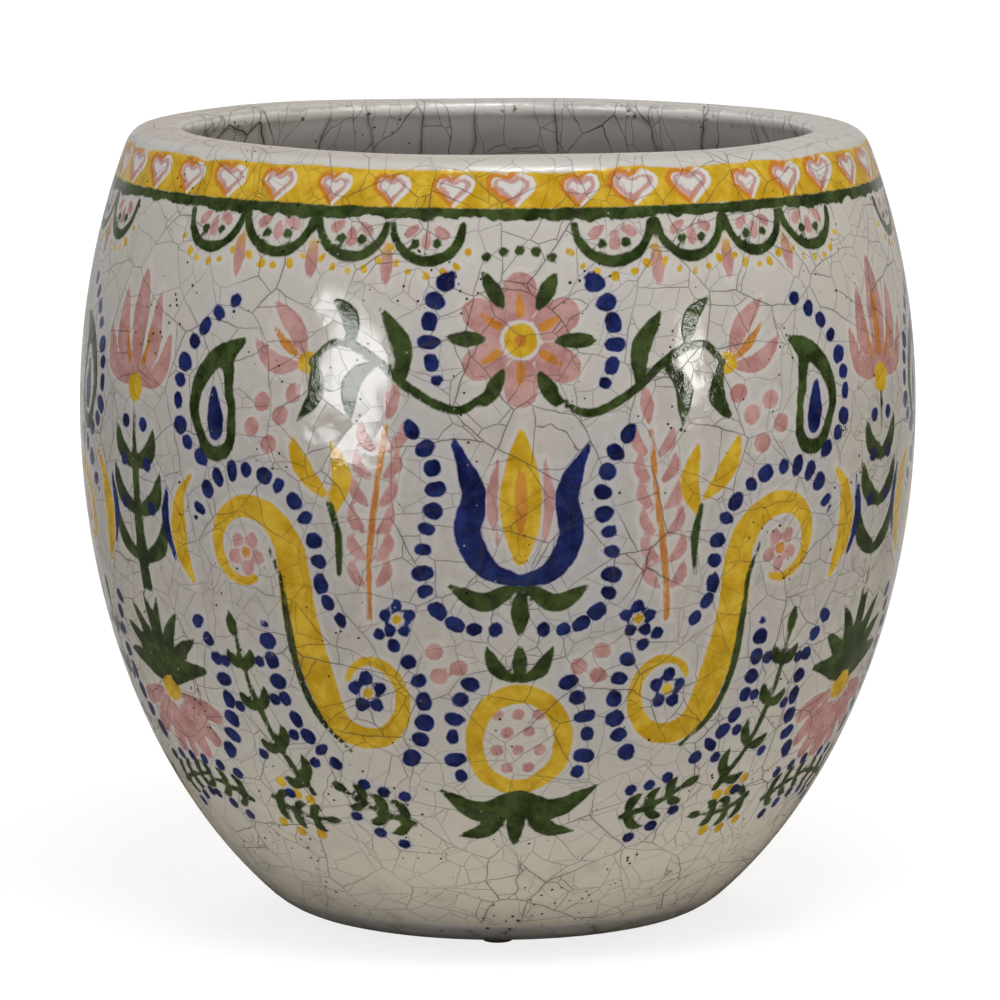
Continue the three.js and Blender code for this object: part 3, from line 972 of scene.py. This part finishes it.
def shown_white(tree, lit, white, coordinates):
    """White to the camera and as a backdrop in the glaze, and the lit surface to everything else."""
    ray = Tone(tree.nodes.new("ShaderNodeLightPath").outputs["Is Camera Ray"])
    where = Tone(tree.nodes.new("ShaderNodeTexCoord").outputs[coordinates])
    towards = where.vector("NORMALIZE", where)
    behind = where.node("SeparateXYZ", None, {0: towards}, "Y").rise(0.6, 0.93)
    seen = ray.most(ray.also("Is Glossy Ray") * behind * BACKDROP_SHINE)
    seen = seen.most(ray.also("Is Transmission Ray"))
    return ray.node("MixShader", None, {0: seen, 1: lit, 2: white})


paper = bpy.data.materials.new("floor_paper")
paper.use_nodes = True
paper_tree = paper.node_tree
pale_paper = paper_tree.nodes.new("ShaderNodeBsdfDiffuse")
in_glaze = Tone(paper_tree.nodes.new("ShaderNodeLightPath").outputs["Is Glossy Ray"])
paper_colour = in_glaze.over(paper_white, paper_grey)
paper_tree.links.new(paper_colour.socket, pale_paper.inputs["Color"])
shade = paper_tree.nodes.new("ShaderNodeBsdfDiffuse")
shade.inputs["Color"].default_value = shadow_grey
glow = paper_tree.nodes.new("ShaderNodeEmission")
on_floor = Tone(paper_tree.nodes.new("ShaderNodeTexCoord").outputs["Object"])
far_off = on_floor.vector("LENGTH", on_floor, result=1).rise(0.2, 1.6)
paper_tree.links.new((0.82 + 0.18 * far_off).socket, glow.inputs["Strength"])
both = paper_tree.nodes.new("ShaderNodeAddShader")
paper_tree.links.new(shade.outputs[0], both.inputs[0])
paper_tree.links.new(glow.outputs[0], both.inputs[1])
shown = shown_white(paper_tree, Tone(pale_paper.outputs[0]), Tone(both.outputs[0]), "Object")
paper_tree.links.new(shown.socket, paper_tree.nodes["Material Output"].inputs["Surface"])
floor_mesh.materials.append(paper)

world = bpy.data.worlds.new("studio")
world.use_nodes = True
scene.world = world
sky = world.node_tree
ambient = sky.nodes["Background"]
ambient.inputs["Color"].default_value = (1.0, 0.99, 0.97, 1.0)
sky_in_glaze = Tone(sky.nodes.new("ShaderNodeLightPath").outputs["Is Glossy Ray"])
sky.links.new((0.28 - 0.19 * sky_in_glaze).socket, ambient.inputs["Strength"])
white_sky = sky.nodes.new("ShaderNodeBackground")
white_sky.inputs["Color"].default_value = (1.0, 1.0, 1.0, 1.0)
white_sky.inputs["Strength"].default_value = 1.0
shown = shown_white(sky, Tone(ambient.outputs[0]), Tone(white_sky.outputs[0]), "Generated")
sky.links.new(shown.socket, sky.nodes["World Output"].inputs["Surface"])


def soft_box(name, width, tall, power, stand, tint, fills=True, shines=True):
    """A soft box with faded edges that faces the pot, to fill it with light, to shine in it or both."""
    lamp = bpy.data.lights.new(name, "AREA")
    lamp.shape = "RECTANGLE"
    lamp.size, lamp.size_y = width, tall
    lamp.energy = power
    lamp.color = tint
    lamp.use_nodes = True
    on_lamp = Tone(lamp.node_tree.nodes.new("ShaderNodeNewGeometry").outputs["Parametric"])
    across = on_lamp.node("SeparateXYZ", None, {0: on_lamp})
    fade = 1.0
    for share in (across, across.also("Y")):
        fade = fade * share.rise(0.0, 0.3) * share.fall(0.7, 1.0)
    lamp.node_tree.links.new(fade.socket, lamp.node_tree.nodes["Emission"].inputs["Strength"])
    holder = bpy.data.objects.new(name, lamp)
    bpy.context.collection.objects.link(holder)
    holder.location = stand
    holder.rotation_euler = (LIT_POINT - Vector(stand)).to_track_quat("-Z", "Y").to_euler()
    holder.visible_diffuse, holder.visible_glossy = fills, shines


soft_box("front_box", 0.9, 0.5, 30.0, (0.1, -0.55, 1.31), (1.0, 1.0, 1.0))
soft_box("right_fill", 0.3, 0.6, 5.3, (1.25, 0.4, 0.4), (1.0, 0.9, 0.66), shines=False)
soft_box("left_fill", 0.3, 0.6, 4.5, (-1.25, 0.4, 0.4), (0.93, 0.96, 1.0), shines=False)
soft_box("back_fill", 0.6, 0.6, 13.0, (0.0, 1.2, 0.75), (1.0, 1.0, 1.0), shines=False)
soft_box("left_box", 0.6, 0.68, 19.0, (-0.97, -1.16, 0.25), (0.98, 0.98, 1.0), fills=False)
soft_box("right_box", 0.28, 0.42, 6.2, (1.22, -0.92, 0.27), (1.0, 0.98, 0.95), fills=False)

camera = bpy.data.objects.new("camera", bpy.data.cameras.new("camera"))
bpy.context.collection.objects.link(camera)
camera.data.sensor_width = 36
camera.data.lens = 207.4
camera.data.shift_x = 0.0025
camera.data.clip_end = 60
camera.location = (0, -1.4643, 0.3225)
camera.rotation_euler = (SIGHT_POINT - camera.location).to_track_quat("-Z", "Y").to_euler()
scene.camera = camera
